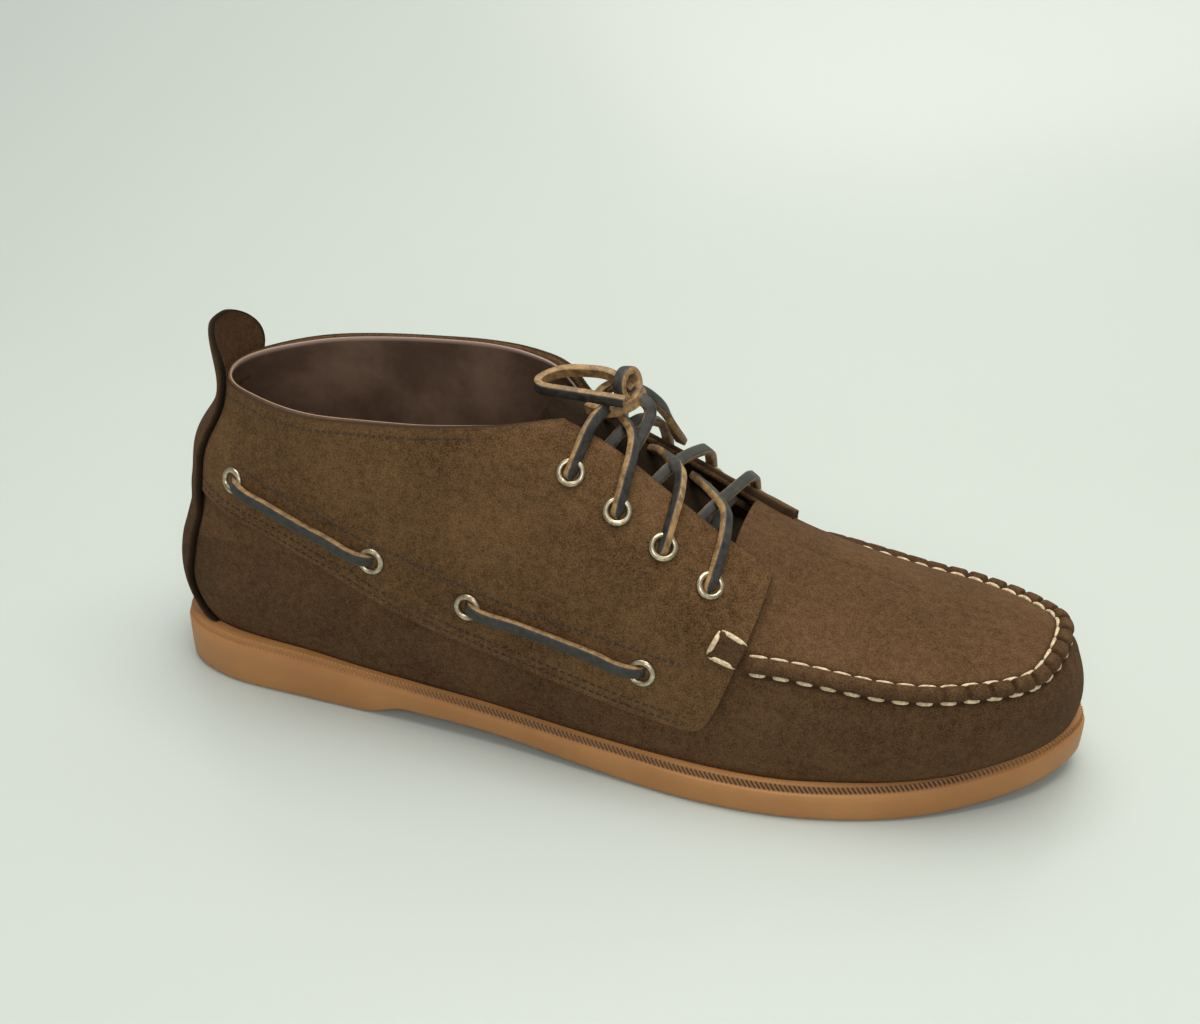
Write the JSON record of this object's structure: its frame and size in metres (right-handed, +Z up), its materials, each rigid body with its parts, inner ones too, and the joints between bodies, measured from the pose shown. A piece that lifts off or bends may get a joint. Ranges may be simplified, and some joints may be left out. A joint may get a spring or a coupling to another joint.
{
  "type": "lace-up boot",
  "caption": "Suede ankle lace-up boot with a hand-sewn moccasin toe, leather thong laces through metal eyelets, a heel tab and a smooth gum-rubber sole.",
  "frame": {"origin": "middle of the boot's footprint, on the floor it stands on", "axes": "+X towards the toe, +Y towards the inner side of this right shoe, +Z up"},
  "size_m": [0.3066, 0.1016, 0.119],
  "materials": {
    "gum_rubber": "smooth satin gum rubber",
    "insole_leather": "smooth dark leather",
    "suede": "brown suede with a short nap",
    "tongue_suede": "brown suede",
    "strap_suede": "brown suede with a raw edge",
    "eyelet_brass": "worn pale antique brass",
    "lace_leather": "waxed charcoal leather with tan cut edges"
  },
  "bodies": {
    "root": {"outsole": "gum_rubber", "insole": "insole_leather", "upper": "suede", "tongue": "tongue_suede", "back_strap": "strap_suede", "eyelet_lateral_1": "eyelet_brass", "eyelet_lateral_2": "eyelet_brass", "eyelet_lateral_3": "eyelet_brass", "eyelet_lateral_4": "eyelet_brass", "side_eyelet_lateral_1": "eyelet_brass", "side_eyelet_lateral_2": "eyelet_brass", "side_eyelet_lateral_3": "eyelet_brass", "side_eyelet_lateral_4": "eyelet_brass", "eyelet_medial_1": "eyelet_brass", "eyelet_medial_2": "eyelet_brass", "eyelet_medial_3": "eyelet_brass", "eyelet_medial_4": "eyelet_brass", "side_eyelet_medial_1": "eyelet_brass", "side_eyelet_medial_2": "eyelet_brass", "side_eyelet_medial_3": "eyelet_brass", "side_eyelet_medial_4": "eyelet_brass", "lace_cross_1": "lace_leather", "lace_cross_2": "lace_leather", "lace_cross_3": "lace_leather", "lace_low_run": "lace_leather", "lace_top_lateral": "lace_leather", "side_lace_lateral_rear": "lace_leather", "side_lace_lateral_front": "lace_leather", "lace_top_medial": "lace_leather", "side_lace_medial_rear": "lace_leather", "side_lace_medial_front": "lace_leather", "lace_knot": "lace_leather", "lace_loop_back": "lace_leather", "lace_loop_front": "lace_leather", "lace_end_medial": "lace_leather"}
  },
  "joints": []
}
